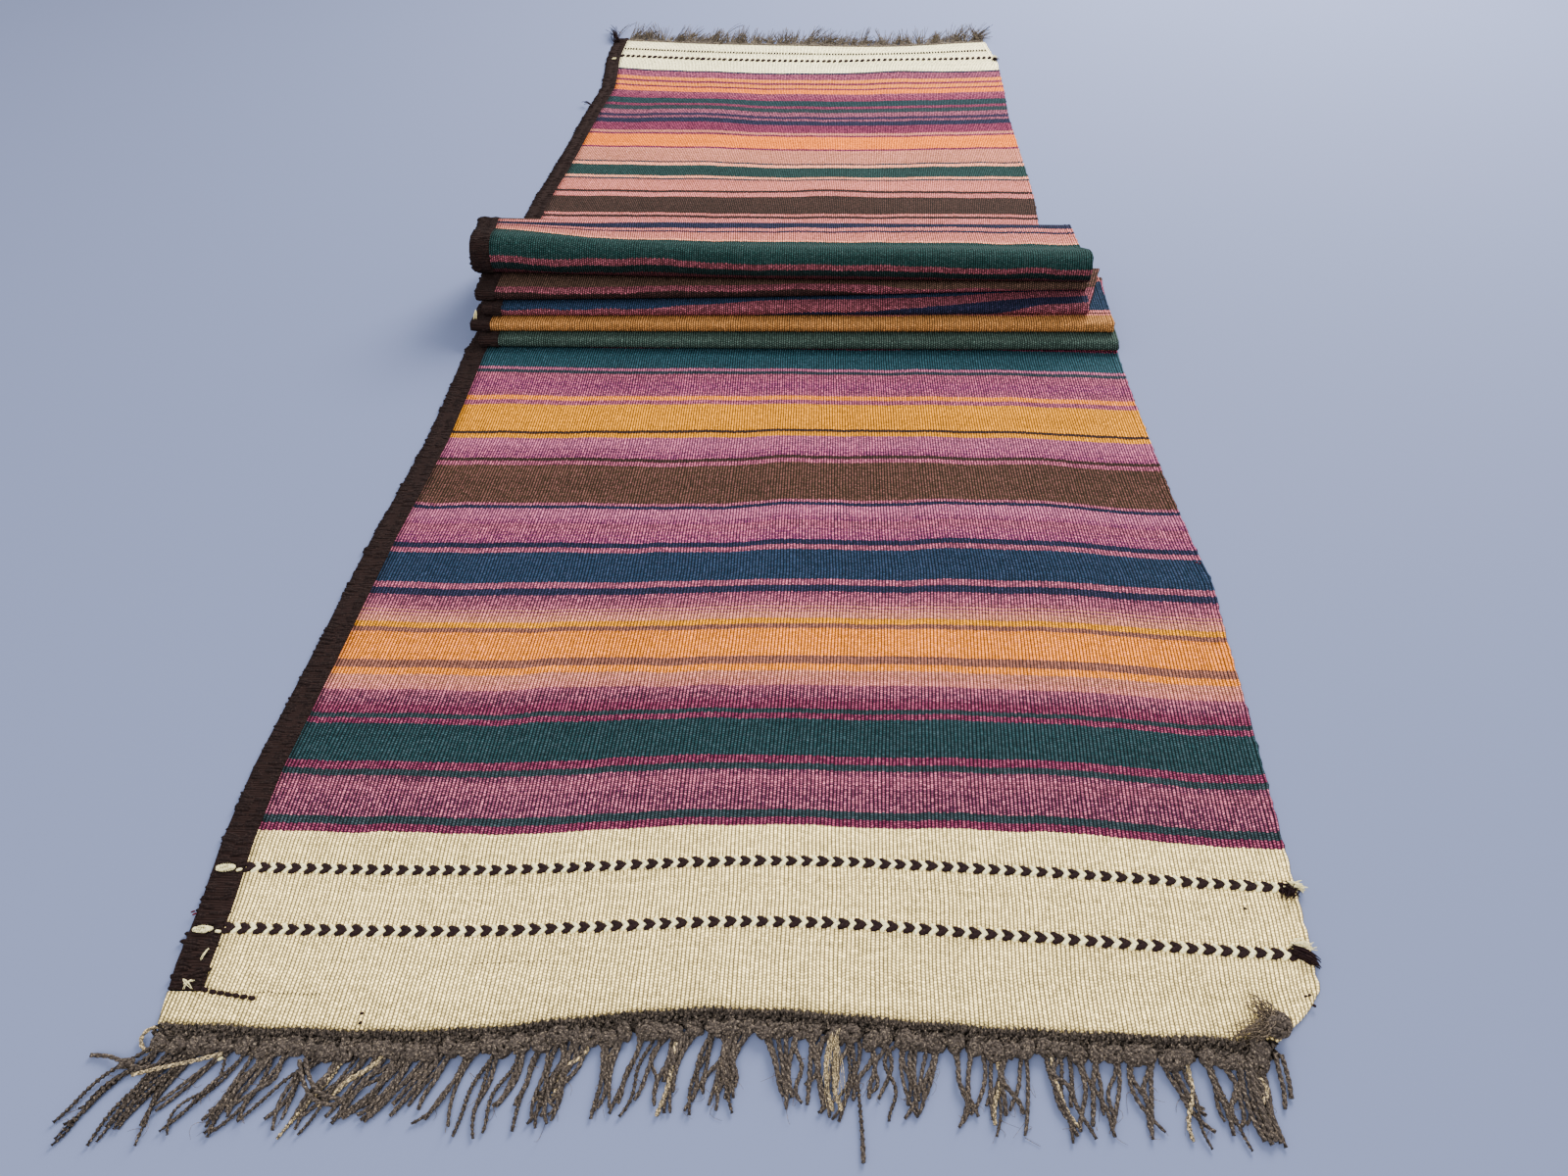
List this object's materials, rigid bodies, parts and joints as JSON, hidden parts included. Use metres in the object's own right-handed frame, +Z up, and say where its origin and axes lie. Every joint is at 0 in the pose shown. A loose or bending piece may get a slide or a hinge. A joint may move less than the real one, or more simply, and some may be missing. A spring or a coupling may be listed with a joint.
{
  "type": "kilim runner",
  "caption": "Striped flat-woven wool floor runner laid out with its middle pleated into a low pile, with a dark side binding and a knotted fringe at its ends.",
  "frame": {"origin": "middle of the runner's footprint, on the floor that it lies on", "axes": "+Z up, +Y along the runner from its near end to its far end, +X across it to the right, towards the bare selvedge"},
  "size_m": [0.8763, 2.2482, 0.1133],
  "materials": {
    "kilim_wool": "matt hand-woven wool, weft-faced, with crosswise stripes",
    "binding_wool": "matt dark brown wool, wrapped closely over the edge cords",
    "fringe_yarn": "matt grey-brown two-ply wool yarn, knotted and loose",
    "twining_yarn": "matt off-white and dark brown wool yarn"
  },
  "bodies": {
    "root": {"kilim_cloth": "kilim_wool", "side_binding": "binding_wool", "near_fringe": "fringe_yarn", "far_fringe": "fringe_yarn", "tail_near_left_1": "twining_yarn", "tail_near_left_2": "twining_yarn", "tail_near_right_1": "twining_yarn", "tail_near_right_2": "twining_yarn", "tail_far_left": "twining_yarn", "tail_far_right": "twining_yarn"}
  },
  "joints": []
}
